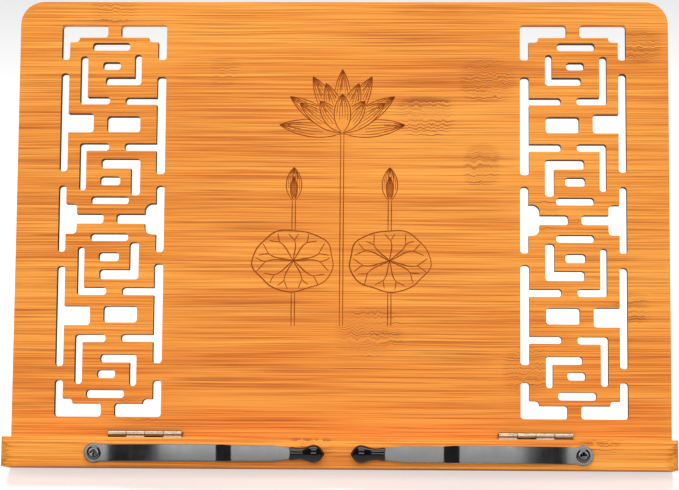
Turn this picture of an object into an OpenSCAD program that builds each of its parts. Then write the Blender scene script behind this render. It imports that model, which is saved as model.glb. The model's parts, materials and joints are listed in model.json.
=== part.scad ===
// Folding bamboo stand for a photo album or an open book.
// A fretwork board leans back on its planed bottom edge and on a hinged rear leg.
// A hinged tray carries the album, and two sprung clips on the tray's front hold the pages.
//
// World frame: +X to the reader's right, +Y away from the reader, +Z up, floor at Z = 0.
// The origin is the middle of the board's planed bottom edge.
// Board frame: X across, Y through the board from its front face, Z up the board's slope.

/* [Board] */
// Width of the board and of the tray
board_w = 340; // [300:1:420]
// Height of the board, measured up its slope
board_h = 245; // [200:1:300]
// Thickness of the board
board_t = 5.5; // [5:0.5:9]
// Radius of the board's two top corners
board_corner_r = 12; // [4:1:20]
// Angle of the board back from upright
lean = 20; // [12:1:28]

/* [Fretwork] */
// Width of one fretwork column
fret_w = 55.3; // [48:0.1:66]
// Board left between a column and the board's side edge
fret_side_margin = 22; // [14:1:40]
// Board left between a column and the board's top edge
fret_top_margin = 12.2; // [8:0.2:24]
// Board left between a column and the top of the tray
fret_low_margin = 11.5; // [8:0.5:24]
// Corner radius of a fretwork slot
slot_r = 1.7; // [1.1:0.1:1.9]

/* [Tray] */
// Depth of the tray in front of the board
tray_d = 35; // [28:1:50]
// Thickness of the tray
tray_t = 15; // [13.5:0.5:20]
// Radius of the tray's front corners, seen from above
tray_corner_r = 8; // [2:1:12]
// Height of the bevel along the tray's top front edge
bevel_h = 4.5; // [2:0.5:6]
// Depth of the same bevel, front to back
bevel_d = 6; // [2:0.5:10]
// Gap between the closed tray and the board
seat_gap = 0.3; // [0.3:0.05:0.6]

/* [Hinges] */
// Length of a butt hinge along its pin
hinge_l = 38; // [30:1:44]
// Radius of a hinge knuckle
knuckle_r = 1.7; // [1.5:0.1:2.2]
// Thickness of a hinge leaf
leaf_t = 0.9; // [0.7:0.1:1.0]
// Height of a leaf from the pin's axis to its far edge
leaf_h = 12; // [10:0.5:12.5]
// Radius of a hinge pin
pin_r = 0.6; // [0.5:0.05:0.8]
// Distance of a tray hinge's middle from the centre line
tray_hinge_x = 100.4; // [60:0.1:120]
// Height of the tray hinges' knuckles above their least clearance to the tray's top
tray_hinge_rise = 0.8; // [0:0.1:1.5]
// Distance of a leg hinge's middle from the centre line
leg_hinge_x = 38; // [26:1:40]

/* [Clips] */
// Distance of a clip's pivot from the centre line
clip_x = 122; // [119:1:135]
// Height of a clip's pivot above the tray's underside
clip_z = 6.8; // [6.2:0.1:8]
// Length of the steel arm from the pivot to the tip
arm_l = 98.3; // [90:0.1:100]
// Width of the arm before its bend
arm_w = 8.6; // [7.5:0.1:9.4]
// Width of the arm where the tip begins
arm_end_w = 6.2; // [5:0.1:6.6]
// Thickness of the arm
arm_t = 1; // [0.8:0.1:1.2]
// Radius of the arm's round pivot end
arm_end_r = 5; // [4.8:0.1:6]
// Height of the arm's bow off the tray's front
bow_h = 8; // [5:0.5:10]
// Radius of the moulded tip's bulb
bulb_r = 4.5; // [4:0.1:4.7]
// Radius of the pivot screw's shank
pivot_r = 1.5; // [1.3:0.1:1.8]

/* [Leg] */
// Width of the rear leg
leg_w = 130; // [110:1:160]
// Thickness of the rear leg
leg_t = 6; // [5:0.5:9]
// Height of the leg's hinge axis up the board's slope
leg_pivot_h = 175; // [150:1:178]
// Angle between board and leg when the leg stands on its stop
leg_open = 35; // [30:1:42]

/* [Hidden] */
$fn = 48;
eps = 0.01;

// Colours
bamboo = [0.91, 0.58, 0.27];
nickel = [0.78, 0.77, 0.74];
black_steel = [0.12, 0.12, 0.13];
gloss_black = [0.03, 0.03, 0.03];

// Hinges: knuckles turn clear of the wood, and pins run in the knuckles
knuckle_gap = 0.3;
hinge_off = knuckle_r + knuckle_gap;
axial_gap = 0.25;
pin_fit = 0.05;
pin_head_r = 1.15;
pin_head_t = 0.7;
knuckles = 4;
knuckle_l = (hinge_l - (knuckles - 1) * axial_gap) / knuckles;
knuckle_pitch = knuckle_l + axial_gap;
// Where the outer and inner faces of a leaf run into its knuckle
neck_out_a = -40;
neck_in_a = -75;

// Countersunk hinge screws
screw_r = 0.9;
screw_head_r = 1.75;
screw_l = 4.4;
screw_fit = 0.05;
screw_tip_l = 1.2;
screw_spread = hinge_l * 0.28;
screw_drop = (leaf_h + hinge_off) / 2 + 0.2;
recess_w = 0.45;
pilot_spare = 0.3;

// The tray hinge axis lies in the inside corner between board and tray
tray_axis_y = -hinge_off;
tray_axis_z = tray_t + hinge_off + tray_hinge_rise;
// Each end of the tray's hinge pocket clears the pin's head by this much
head_gap = 0.4;

// Fretwork pattern: drawn on a grid of 55.3 by 206.3, stretched to the column's real size
grid_w = 55.3;
grid_h = 206.3;
fret_h = board_h - fret_top_margin - fret_low_margin - tray_t;
fret_mid = grid_h / 2;

// Clip levels off the tray's front face
washer_t = 0.6;
washer_r = 4.2;
stack_gap = 0.1;
arm_level = washer_t + stack_gap + arm_t / 2;
head_level = arm_level + arm_t / 2 + stack_gap;
head_r = 3.5;
head_h = 2;
shank_l = 10;
pivot_fit = 0.06;
bow_start = 6;
bow_run = 48;
bend_start = 60;
bend_run = 10.5;
tip_level = bulb_r + 0.5;
taper_l = 9;
arm_mid_w = arm_w - 0.5;
tongue_l = 6;
tongue_w = 3.6;
tongue_fit = 0.1;
bulb_at = 12;
neck_r = arm_end_w / 2 + 0.3;
waist_r = neck_r - 0.5;
waist_at = 5;
nose_l = 17.2;

// Leg: its upper end stops against the board's back when the leg is open
leg_stop_gap = 0.2;
leg_head = 11;
foot_chamfer = 8;
leg_axis_y = board_t + hinge_off;
leg_reach = 260;

// Puts the board frame into the world frame
module board_frame() {
    translate([0, -board_t / (2 * cos(lean)), 0]) rotate([-lean, 0, 0]) children();
}

// Everything below the floor, in the world frame
module below_floor() {
    translate([-board_w, -board_w, -board_w]) cube([2 * board_w, 2 * board_w, board_w]);
}

// Left and right copies
module both_sides() {
    children();
    mirror([1, 0, 0]) children();
}

// ---------- Fretwork ----------

// A slot with round corners, from grid point (a0, b0) to (a1, b1); b runs down the column
module slot(a0, b0, a1, b1, r = slot_r) {
    x0 = a0 * fret_w / grid_w;
    x1 = a1 * fret_w / grid_w;
    y0 = -b1 * fret_h / grid_h;
    y1 = -b0 * fret_h / grid_h;
    c = min(r, 0.49 * (x1 - x0), 0.49 * (y1 - y0));
    translate([x0 + c, y0]) square([x1 - x0 - 2 * c, y1 - y0]);
    translate([x0, y0 + c]) square([x1 - x0, y1 - y0 - 2 * c]);
    for (x = [x0 + c, x1 - c], y = [y0 + c, y1 - c]) translate([x, y]) circle(c, $fn = 24);
}

// Upper half of one column, with its outer edge at x = 0 and its top at y = 0
module fret_half() {
    // corner brackets
    slot(0, 0, 24.2, 6.9);
    slot(0, 0, 4.2, 18.9);
    slot(1, 1, 9.3, 9.4, 2.2);
    slot(31.1, 0, 55.3, 6.9);
    slot(50.8, 0, 55.3, 18.9);
    slot(45.6, 1, 54.3, 9.4, 2.2);
    // upper maze
    slot(16.3, 9.7, 36, 13.9);
    slot(10.1, 16.9, 14, 42.6);
    slot(10.1, 38.6, 25.9, 42.6);
    slot(21.9, 20, 31.2, 24.2);
    slot(38.6, 16, 42.2, 32.3);
    slot(23.4, 28.1, 42.2, 32.3);
    // outer spine with its block
    slot(0, 26, 4.1, 78.2);
    slot(1, 47.4, 17.5, 57.5);
    // inner spine with its two arms
    slot(50.6, 27.8, 55.3, 79.6);
    slot(34, 38.9, 53, 42.7);
    slot(34, 63.2, 53, 67.2);
    // centre block
    slot(24.6, 48.9, 42, 57.4);
    // lower maze
    slot(10.5, 63.2, 25.8, 67.2);
    slot(10.5, 63.2, 14, 88.3);
    slot(22, 71.4, 42.4, 76.6);
    slot(37.6, 71.4, 42.4, 90.8);
    slot(21.5, 80.8, 32, 85.5);
    slot(17, 91.4, 36.7, 95.4);
    // middle cross, which runs on into the mirrored half
    slot(0, 85.7, 3.9, fret_mid + 6);
    slot(51, 85.7, 55.3, fret_mid + 6);
    slot(1, 95.2, 9.6, 2 * fret_mid - 95.2, 2.2);
    slot(45.2, 95, 54.3, 2 * fret_mid - 95, 4);
    slot(1, 100.6, 23.6, 2 * fret_mid - 100.6);
    slot(30.4, 100.6, 54.3, 2 * fret_mid - 100.6);
}

// One whole column
module fret_column() {
    fret_half();
    translate([0, -fret_h]) mirror([0, 1]) fret_half();
}

// ---------- Board ----------

module board_outline() {
    r = board_corner_r;
    difference() {
        union() {
            translate([-board_w / 2, 0]) square([board_w, board_h - r]);
            translate([-board_w / 2 + r, 0]) square([board_w - 2 * r, board_h]);
            for (x = [-1, 1]) translate([x * (board_w / 2 - r), board_h - r]) circle(r);
        }
        both_sides() {
            translate([-board_w / 2 + fret_side_margin, board_h - fret_top_margin]) fret_column();
        }
    }
}

module main_panel() {
    color(bamboo) difference() {
        board_frame() difference() {
            translate([0, board_t, 0]) rotate([90, 0, 0]) linear_extrude(board_t) board_outline();
            tray_hinges() pilot_holes(1);
            leg_hinges() pilot_holes(1);
        }
        below_floor();
    }
}

// ---------- Tray ----------

// Side view of the tray: Y front to back, Z up
module tray_profile() {
    polygon([[-tray_d, 0], [-seat_gap, 0], [-seat_gap, tray_t], [bevel_d - tray_d, tray_t],
             [-tray_d, tray_t - bevel_h]]);
}

// Plan of the tray with round front corners
module tray_plan() {
    r = tray_corner_r;
    translate([-board_w / 2, -tray_d + r]) square([board_w, tray_d - r]);
    translate([-board_w / 2 + r, -tray_d]) square([board_w - 2 * r, tray_d]);
    for (x = [-1, 1]) translate([x * (board_w / 2 - r), -tray_d + r]) circle(r);
}

// Pocket in the tray's back edge that takes both leaves of a closed hinge
module leaf_pocket() {
    w = hinge_l + 2 * (pin_fit + pin_head_t + head_gap);
    depth = 2 * hinge_off;
    low = -leaf_h - 0.5;
    translate([-w / 2, -hinge_off, low]) cube([w, depth, -low]);
}

module tray() {
    color(bamboo) board_frame() difference() {
        intersection() {
            rotate([90, 0, 90]) translate([0, 0, -board_w / 2]) linear_extrude(board_w) tray_profile();
            translate([0, 0, -1]) linear_extrude(tray_t + 2) tray_plan();
        }
        tray_hinges() {
            leaf_pocket();
            pilot_holes(-1);
        }
        both_sides() clip_frame() pivot_shank(screw_fit);
    }
}

// ---------- Butt hinge ----------
// Hinge frame: the pin along X, both leaves closed and pointing down -Z.
// Side 1 is the leaf that faces +Y, side -1 the leaf that faces -Y.

module knuckle(i) {
    translate([-hinge_l / 2 + i * knuckle_pitch, 0, 0]) rotate([0, 90, 0]) {
        cylinder(r = knuckle_r, h = knuckle_l);
    }
}

// The part of a leaf that rolls up into knuckle i, on the leaf that faces +Y
module knuckle_neck(i) {
    curl = [for (a = [neck_out_a, neck_in_a]) knuckle_r * [cos(a), sin(a)]];
    translate([-hinge_l / 2 + i * knuckle_pitch, 0, 0]) rotate([90, 0, 90]) linear_extrude(knuckle_l) {
        polygon([[hinge_off - leaf_t, -hinge_off], [hinge_off, -hinge_off], curl[0], [0, 0], curl[1]]);
    }
}

// One countersunk screw along +Y, its head's flat face at Y = 0; grow is the hole's clearance
module hinge_screw(grow = 0) {
    rotate([-90, 0, 0]) difference() {
        union() {
            translate([0, 0, -grow]) cylinder(r1 = screw_head_r + 2 * grow, r2 = screw_r + grow,
                h = leaf_t + grow, $fn = 32);
            cylinder(r = screw_r + grow, h = screw_l - screw_tip_l + grow, $fn = 32);
            translate([0, 0, screw_l - screw_tip_l - eps + grow]) {
                cylinder(r1 = screw_r + grow, r2 = 0.15 + grow, h = screw_tip_l + eps, $fn = 32);
            }
        }
        if (grow == 0) for (turn = [0, 90]) rotate([0, 0, turn]) {
            translate([-1.1, -recess_w / 2, -1]) cube([2.2, recess_w, 1.5]);
        }
    }
}

// Both places of a leaf's screws, with +Y into the wood
module screw_places(side) {
    for (x = [-1, 1]) translate([x * screw_spread, side * (hinge_off - leaf_t), -screw_drop]) {
        mirror([0, side < 0 ? 1 : 0, 0]) children();
    }
}

// Both screws of one leaf, or with grow their holes in the leaf
module leaf_screws(side, grow = 0) {
    screw_places(side) hinge_screw(grow);
}

// The holes that the same screws need in the wood
module pilot_holes(side) {
    screw_places(side) rotate([-90, 0, 0]) {
        cylinder(r = screw_r + screw_fit, h = screw_l + pilot_spare, $fn = 32);
    }
}

module hinge_leaf(side) {
    own = side > 0 ? [0, 2] : [1, 3];
    color(nickel) difference() {
        union() {
            mirror([0, side < 0 ? 1 : 0, 0]) {
                translate([-hinge_l / 2, hinge_off - leaf_t, -leaf_h]) {
                    cube([hinge_l, leaf_t, leaf_h - hinge_off]);
                }
                for (i = own) knuckle_neck(i);
            }
            for (i = own) knuckle(i);
        }
        rotate([0, 90, 0]) cylinder(r = pin_r + pin_fit, h = hinge_l + 2, center = true, $fn = 32);
        leaf_screws(side, screw_fit);
    }
}

module hinge_pin() {
    color(nickel) rotate([0, 90, 0]) {
        translate([0, 0, -hinge_l / 2]) cylinder(r = pin_r, h = hinge_l + pin_fit, $fn = 32);
        translate([0, 0, hinge_l / 2 + pin_fit]) {
            cylinder(r1 = pin_head_r, r2 = pin_head_r * 0.6, h = pin_head_t, $fn = 32);
        }
    }
}

// Places a hinge-frame child at the left or right tray hinge, in the board frame
module tray_hinge(side) {
    mirror([side > 0 ? 1 : 0, 0, 0]) translate([-tray_hinge_x, tray_axis_y, tray_axis_z]) children();
}

module tray_hinges() {
    for (side = [-1, 1]) tray_hinge(side) children();
}

// Leg hinges face the other way: side 1 lies on the board's back
module leg_hinge(side) {
    mirror([side > 0 ? 1 : 0, 0, 0]) translate([-leg_hinge_x, leg_axis_y, leg_pivot_h]) {
        mirror([0, 1, 0]) children();
    }
}

module leg_hinges() {
    for (side = [-1, 1]) leg_hinge(side) children();
}

// Turns the leg's side of the leg hinges out to the open stop, in the board frame
module leg_opened() {
    translate([0, leg_axis_y, leg_pivot_h]) rotate([leg_open, 0, 0]) {
        translate([0, -leg_axis_y, -leg_pivot_h]) children();
    }
}

// ---------- Clips ----------
// Clip frame: the pivot on the tray's front face, the arm along +X, -Y off the face.

module clip_frame() {
    translate([-clip_x, -tray_d, clip_z]) children();
}

module pivot_shank(grow = 0) {
    rotate([-90, 0, 0]) {
        translate([0, 0, -head_level]) cylinder(r = pivot_r + grow, h = head_level + shank_l + grow);
    }
}

function ramp(v) = max(0, min(1, v));
function smooth(v) = ramp(v) * ramp(v) * (3 - 2 * ramp(v));
// Middle of the arm's thickness, off the tray's face, at a distance a from the pivot
function arm_off(a) = arm_level + bow_h * sin(90 * ramp((a - bow_start) / bow_run))
    - (arm_level + bow_h - tip_level) * smooth((a - bend_start) / bend_run);
// Unit normal of that line, as [along, off]
function arm_slope(a) = (arm_off(a + 0.05) - arm_off(a - 0.05)) / 0.1;
function arm_normal(a) = [-arm_slope(a), 1] / norm([-arm_slope(a), 1]);
// A point on one face of the arm: s is 1 for the outer face and -1 for the inner one
function arm_point(a, s) = let (n = arm_normal(a) * s * arm_t / 2) [a + n[0], -arm_off(a) - n[1]];

// Side view of the arm, as a strip of even thickness
module arm_strip() {
    bowed = [for (i = [0 : 16]) bow_start + i * (bend_start - bow_start) / 16];
    bent = [for (i = [1 : 14]) bend_start + i * bend_run / 14];
    stations = concat([-arm_end_r - 1], bowed, bent, [arm_l + tongue_l]);
    last = len(stations) - 1;
    polygon(concat([for (i = [0 : last]) arm_point(stations[i], 1)],
                   [for (i = [0 : last]) arm_point(stations[last - i], -1)]));
}

// Front view of the arm: a round pivot end, a waist, a taper and a narrow tongue
module arm_front() {
    bend_mid = bend_start + bend_run / 2;
    circle(arm_end_r);
    polygon([[0, -arm_w / 2], [bend_mid, -arm_w / 2], [bend_mid + bend_run / 2, -arm_mid_w / 2],
             [arm_l - taper_l, -arm_mid_w / 2], [arm_l, -arm_end_w / 2],
             [arm_l, arm_end_w / 2], [arm_l - taper_l, arm_mid_w / 2],
             [bend_mid + bend_run / 2, arm_mid_w / 2], [bend_mid, arm_w / 2], [0, arm_w / 2]]);
    translate([arm_l - 1, -tongue_w / 2]) square([tongue_l + 1, tongue_w]);
}

module clip_arm() {
    color(black_steel) difference() {
        intersection() {
            linear_extrude(4 * arm_w, center = true) arm_strip();
            rotate([90, 0, 0]) linear_extrude(4 * bow_h) arm_front();
        }
        rotate([90, 0, 0]) cylinder(r = pivot_r + pivot_fit, h = 2 * head_level);
    }
}

// Radius of the tip at a distance z from its open end, up to the bulb's middle
function tip_r(z) = z < waist_at ? neck_r - (neck_r - waist_r) * smooth(z / waist_at)
    : waist_r + (bulb_r - waist_r) * smooth((z - waist_at) / (bulb_at - waist_at));

module clip_tip() {
    neck = [for (i = [0 : 16]) let (z = i * bulb_at / 16) [tip_r(z), z]];
    dome = [for (a = [15 : 15 : 60]) [bulb_r * cos(a), bulb_at + bulb_r * sin(a)]];
    color(gloss_black) translate([arm_l + tongue_fit, -tip_level, 0]) difference() {
        rotate([0, 90, 0]) rotate_extrude() {
            polygon(concat([[0, 0]], neck, dome, [[0.9, nose_l - 0.5], [0, nose_l]]));
        }
        translate([-1, -arm_t / 2 - tongue_fit, -tongue_w / 2 - tongue_fit]) {
            cube([tongue_l + 1 + tongue_fit, arm_t + 2 * tongue_fit, tongue_w + 2 * tongue_fit]);
        }
    }
}

module clip_screw() {
    dome = [for (a = [0 : 15 : 75]) [head_r - 1.4 + 1.4 * cos(a), head_h - 1.4 + 1.4 * sin(a)]];
    color(black_steel) {
        difference() {
            translate([0, -head_level, 0]) rotate([90, 0, 0]) rotate_extrude() {
                polygon(concat([[0, 0], [head_r, 0]], dome, [[1.9, head_h], [0, head_h]]));
            }
            for (turn = [0, 90]) rotate([0, turn, 0]) {
                translate([-1.8, -head_level - head_h - 1, -0.45]) cube([3.6, 2.2, 0.9]);
            }
        }
        pivot_shank();
    }
}

module clip_washer() {
    color(black_steel) rotate([90, 0, 0]) difference() {
        cylinder(r = washer_r, h = washer_t);
        translate([0, 0, -1]) cylinder(r = pivot_r + pivot_fit, h = washer_t + 2);
    }
}

module place_clip(side) {
    mirror([side > 0 ? 1 : 0, 0, 0]) board_frame() clip_frame() children();
}

// ---------- Leg ----------
// The leg is drawn folded flat behind the board, and then opened to its stop.

module leg_outline() {
    low = leg_pivot_h - leg_reach;
    translate([-leg_w / 2, low]) square([leg_w, leg_reach + leg_head]);
}

// What the open leg must keep clear of: the board and everything in front of it
module stop_wall() {
    y = board_t + leg_stop_gap;
    translate([-board_w, y - board_w, -board_w]) cube([2 * board_w, board_w, 3 * board_w]);
}

// Takes off the two lower corners of the leg, in the world frame
module foot_corners() {
    far = 5 * foot_chamfer;
    for (side = [-1, 1]) mirror([side > 0 ? 1 : 0, 0, 0]) translate([-leg_w / 2, 0, 0]) {
        rotate([0, -45, 0]) translate([-far, -board_w, -far]) {
            cube([far + foot_chamfer / sqrt(2), 2 * board_w, 2 * far]);
        }
    }
}

module rear_leg() {
    face_y = board_t + 2 * hinge_off;
    color(bamboo) difference() {
        board_frame() difference() {
            leg_opened() difference() {
                translate([0, face_y + leg_t, 0]) rotate([90, 0, 0]) linear_extrude(leg_t) leg_outline();
                leg_hinges() pilot_holes(-1);
            }
            stop_wall();
        }
        below_floor();
        foot_corners();
    }
}

// ---------- The assembly ----------

main_panel();
tray();

board_frame() tray_hinge(-1) hinge_leaf(1);  // tray_hinge_left_panel_leaf
board_frame() tray_hinge(-1) hinge_leaf(-1);  // tray_hinge_left_tray_leaf
board_frame() tray_hinge(-1) hinge_pin();  // tray_hinge_left_pin
board_frame() tray_hinge(1) hinge_leaf(1);  // tray_hinge_right_panel_leaf
board_frame() tray_hinge(1) hinge_leaf(-1);  // tray_hinge_right_tray_leaf
board_frame() tray_hinge(1) hinge_pin();  // tray_hinge_right_pin
color(nickel) board_frame() tray_hinges() leaf_screws(1);  // tray_hinge_panel_screws
color(nickel) board_frame() tray_hinges() leaf_screws(-1);  // tray_hinge_tray_screws

place_clip(-1) clip_arm();  // left_clip_arm
place_clip(-1) clip_tip();  // left_clip_tip
place_clip(-1) clip_screw();  // left_clip_screw
place_clip(-1) clip_washer();  // left_clip_washer
place_clip(1) clip_arm();  // right_clip_arm
place_clip(1) clip_tip();  // right_clip_tip
place_clip(1) clip_screw();  // right_clip_screw
place_clip(1) clip_washer();  // right_clip_washer

rear_leg();
board_frame() leg_hinge(-1) hinge_leaf(1);  // leg_hinge_left_panel_leaf
board_frame() leg_opened() leg_hinge(-1) hinge_leaf(-1);  // leg_hinge_left_leg_leaf
board_frame() leg_hinge(-1) hinge_pin();  // leg_hinge_left_pin
board_frame() leg_hinge(1) hinge_leaf(1);  // leg_hinge_right_panel_leaf
board_frame() leg_opened() leg_hinge(1) hinge_leaf(-1);  // leg_hinge_right_leg_leaf
board_frame() leg_hinge(1) hinge_pin();  // leg_hinge_right_pin
color(nickel) board_frame() leg_hinges() leaf_screws(1);  // leg_hinge_panel_screws
color(nickel) board_frame() leg_opened() leg_hinges() leaf_screws(-1);  // leg_hinge_leg_screws
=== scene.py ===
"""Looks of a folding bamboo album stand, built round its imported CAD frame.

Lengths are in metres. The board and everything fixed to it is laid out on the board's own
axes: u across, w up the board's slope and t through it from its front face.
"""

import json
import logging
import math
from dataclasses import dataclass, field
from enum import Enum

import bmesh
import bpy
from mathutils import Matrix, Vector


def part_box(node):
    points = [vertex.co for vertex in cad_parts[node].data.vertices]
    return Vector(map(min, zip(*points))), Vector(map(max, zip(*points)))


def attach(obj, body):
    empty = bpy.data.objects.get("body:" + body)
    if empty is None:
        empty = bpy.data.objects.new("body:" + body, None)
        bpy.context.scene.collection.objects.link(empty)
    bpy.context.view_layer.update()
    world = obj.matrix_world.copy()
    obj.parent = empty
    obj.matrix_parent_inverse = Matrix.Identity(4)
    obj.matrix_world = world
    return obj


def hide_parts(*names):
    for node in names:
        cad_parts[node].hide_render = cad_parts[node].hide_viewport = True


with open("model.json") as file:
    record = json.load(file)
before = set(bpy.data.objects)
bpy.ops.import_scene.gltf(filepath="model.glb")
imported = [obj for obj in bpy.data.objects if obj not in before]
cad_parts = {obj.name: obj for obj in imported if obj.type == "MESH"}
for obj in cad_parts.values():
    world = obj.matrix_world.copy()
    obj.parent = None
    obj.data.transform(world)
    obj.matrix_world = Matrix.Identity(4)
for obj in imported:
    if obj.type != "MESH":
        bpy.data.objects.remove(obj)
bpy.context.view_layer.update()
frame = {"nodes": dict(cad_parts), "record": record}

LOG = logging.getLogger("album_stand")
MM = 0.001
Point = tuple[float, float]
Point3 = tuple[float, float, float]
Colour = tuple[float, float, float, float]
Socket = bpy.types.NodeSocket
Value = float | Colour | Socket


# ---------------------------------------------------------------- layout


@dataclass(frozen=True)
class Slope:
    """A flat board's own axes in the world.

    Attributes:
        origin: Where u, t and w are all zero.
        angle: Lean of the board away from the reader, in radians.
    """

    origin: Vector
    angle: float

    @property
    def up(self) -> Vector:
        """Direction of w, up the board."""
        return Vector((0.0, math.sin(self.angle), math.cos(self.angle)))

    @property
    def back(self) -> Vector:
        """Direction of t, into the board."""
        return Vector((0.0, math.cos(self.angle), -math.sin(self.angle)))

    def matrix(self) -> Matrix:
        """Matrix that takes (u, t, w) to the world."""
        columns = (Vector((1.0, 0.0, 0.0)), self.back, self.up)
        turned = Matrix(columns).transposed().to_4x4()
        turned.translation = self.origin
        return turned


def board_slope() -> Slope:
    """The board's axes: its slope is the tray top's normal, and its front face is its own mesh's."""
    mount = next(m for m in frame["record"]["mounts"] if m["name"] == "tray_top")
    slope = Slope(Vector(), math.atan2(mount["axis"][1], mount["axis"][2]))
    front = min(v.co.dot(slope.back) for v in frame["nodes"]["main_panel"].data.vertices)
    return Slope(Vector((0.0, front / slope.back.y, 0.0)), slope.angle)


def leg_slope() -> Slope:
    """The open leg's axes: it folds flat against the board, so it stands at the joint's range."""
    joint = next(j for j in frame["record"]["behaviour"]["joints"] if j["name"] == "leg_fold")
    opened = math.radians(max(joint["range_deg"]))
    return Slope(Vector(joint["pos_m"]), BOARD.angle - opened)


BOARD = board_slope()
LEG = leg_slope()


# ---------------------------------------------------------------- shader helpers


# Where a Mix node keeps its colour sockets.
COLOUR_A, COLOUR_B, MIXED_COLOUR = 6, 7, 2


@dataclass(frozen=True)
class Speckle:
    """A noise's size and detail.

    Attributes:
        per_metre: Features per metre along each axis.
        detail: How many times the features break up.
        rough: How strongly they do.
    """

    per_metre: Point3
    detail: float = 2.0
    rough: float = 0.5


class Graph:
    """A short way to write one material's nodes."""

    def __init__(self, name: str) -> None:
        """Starts a material with a Principled shader.

        Args:
            name: The material's name.
        """
        self.material = bpy.data.materials.new(name)
        self.material.use_nodes = True
        self.tree = self.material.node_tree
        self.shader = self.tree.nodes["Principled BSDF"]

    def node(self, kind: str, **values: object) -> bpy.types.Node:
        """Adds a node.

        Args:
            kind: The node's type, without its ShaderNode prefix.
            **values: Properties of the node.

        Returns:
            The new node.
        """
        made = self.tree.nodes.new("ShaderNode" + kind)
        for key, value in values.items():
            setattr(made, key, value)
        return made

    def feed(self, socket: Socket, value: Value) -> None:
        """Sets an input to a number or colour, or links it to an output.

        Args:
            socket: The input.
            value: What it gets.
        """
        if isinstance(value, bpy.types.NodeSocket):
            self.tree.links.new(value, socket)
        else:
            socket.default_value = value

    def maths(self, operation: str, a: Value, b: Value = 0.0, c: Value = 0.0) -> Socket:
        """Adds a Math node.

        Args:
            operation: What it does.
            a: First input.
            b: Second input.
            c: Third input.

        Returns:
            Its result.
        """
        made = self.node("Math", operation=operation)
        for socket, value in zip(made.inputs, (a, b, c)):
            self.feed(socket, value)
        return made.outputs[0]

    def noise(self, vector: Socket, speckle: Speckle) -> Socket:
        """Adds a noise.

        Args:
            vector: Coordinates in metres.
            speckle: How fine the noise is.

        Returns:
            Its value, about 0.5.
        """
        stretched = self.node("VectorMath", operation="MULTIPLY")
        self.feed(stretched.inputs[0], vector)
        stretched.inputs[1].default_value = speckle.per_metre
        made = self.node("TexNoise")
        self.feed(made.inputs["Vector"], stretched.outputs[0])
        made.inputs["Scale"].default_value = 1.0
        made.inputs["Detail"].default_value = speckle.detail
        made.inputs["Roughness"].default_value = speckle.rough
        return made.outputs["Fac"]

    def span(self, value: Value, low: float, high: float, to_low: float = 0.0,
             to_high: float = 1.0, smooth: bool = False) -> Socket:
        """Maps a value's range onto another, held at the ends.

        Args:
            value: The value.
            low: Start of its range.
            high: End of its range.
            to_low: What the start becomes.
            to_high: What the end becomes.
            smooth: Whether the ends are eased.

        Returns:
            The mapped value.
        """
        made = self.node("MapRange", clamp=True)
        if smooth:
            made.interpolation_type = "SMOOTHSTEP"
        for index, number in enumerate((value, low, high, to_low, to_high)):
            self.feed(made.inputs[index], number)
        return made.outputs[0]

    def mix(self, amount: Value, a: Value, b: Value) -> Socket:
        """Mixes two colours.

        Args:
            amount: Share of the second.
            a: First colour.
            b: Second colour.

        Returns:
            The mixed colour.
        """
        made = self.node("Mix", data_type="RGBA")
        self.feed(made.inputs["Factor"], amount)
        self.feed(made.inputs[COLOUR_A], a)
        self.feed(made.inputs[COLOUR_B], b)
        return made.outputs[MIXED_COLOUR]

    def bump(self, height: Value, distance: float, strength: float = 1.0) -> None:
        """Bumps the shader's normal.

        Args:
            height: The height, from 0 to 1.
            distance: What a height of 1 stands for, in metres.
            strength: Share of the bump that shows.
        """
        made = self.node("Bump")
        made.inputs["Strength"].default_value = strength
        made.inputs["Distance"].default_value = distance
        self.feed(made.inputs["Height"], height)
        self.feed(self.shader.inputs["Normal"], made.outputs[0])

    def coordinates(self) -> Socket:
        """Object coordinates, which are the world's on a piece that sits at the origin."""
        return self.node("TexCoord").outputs["Object"]


def srgb(red: int, green: int, blue: int) -> Colour:
    """Turns display values, from 0 to 255, to a linear colour.

    Args:
        red: The red value.
        green: The green value.
        blue: The blue value.

    Returns:
        The colour, opaque.
    """

    def linear(value: int) -> float:
        """One channel, from display to linear."""
        share = value / 255.0
        return share / 12.92 if share <= 0.04045 else ((share + 0.055) / 1.055) ** 2.4

    return (linear(red), linear(green), linear(blue), 1.0)


def grey(level: float) -> Colour:
    """A neutral colour of one linear level."""
    return (level, level, level, 1.0)


def times(colour: Colour, factor: float) -> Colour:
    """A colour made lighter or darker."""
    return (colour[0] * factor, colour[1] * factor, colour[2] * factor, 1.0)


# ---------------------------------------------------------------- finishes


# The bamboo's noises, finest across the grain, and how far two of them bend it, in metres.
RIPPLE = Speckle((300.0, 60.0, 130.0))
RIPPLE_HEIGHT = 0.0055
WANDER = Speckle((8.0, 20.0, 22.0), 1.0)
WANDER_HEIGHT = 0.0018
BROAD = Speckle((4.0, 30.0, 42.0), 2.0, 0.6)
BAND = Speckle((6.0, 80.0, 260.0), 2.0, 0.55)
FIBRE = Speckle((11.0, 400.0, 1700.0), 1.0)
FINE = Speckle((50.0, 900.0, 3000.0), 1.0)
VESSELS = Speckle((9.0, 200.0, 1300.0), 0.0, 0.4)
VESSEL_GROUPS = Speckle((20.0, 120.0, 90.0))


@dataclass(frozen=True)
class NodeMark:
    """A culm node: a patch of rippled, darker grain in one laminated strip.

    Attributes:
        u: Middle of the patch across the board.
        w: Middle of the patch up the board.
        half_u: Half its width.
        half_w: Half its height.
        depth: How dark it is, from 0 to 1.
    """

    u: float
    w: float
    half_u: float
    half_w: float
    depth: float


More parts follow.
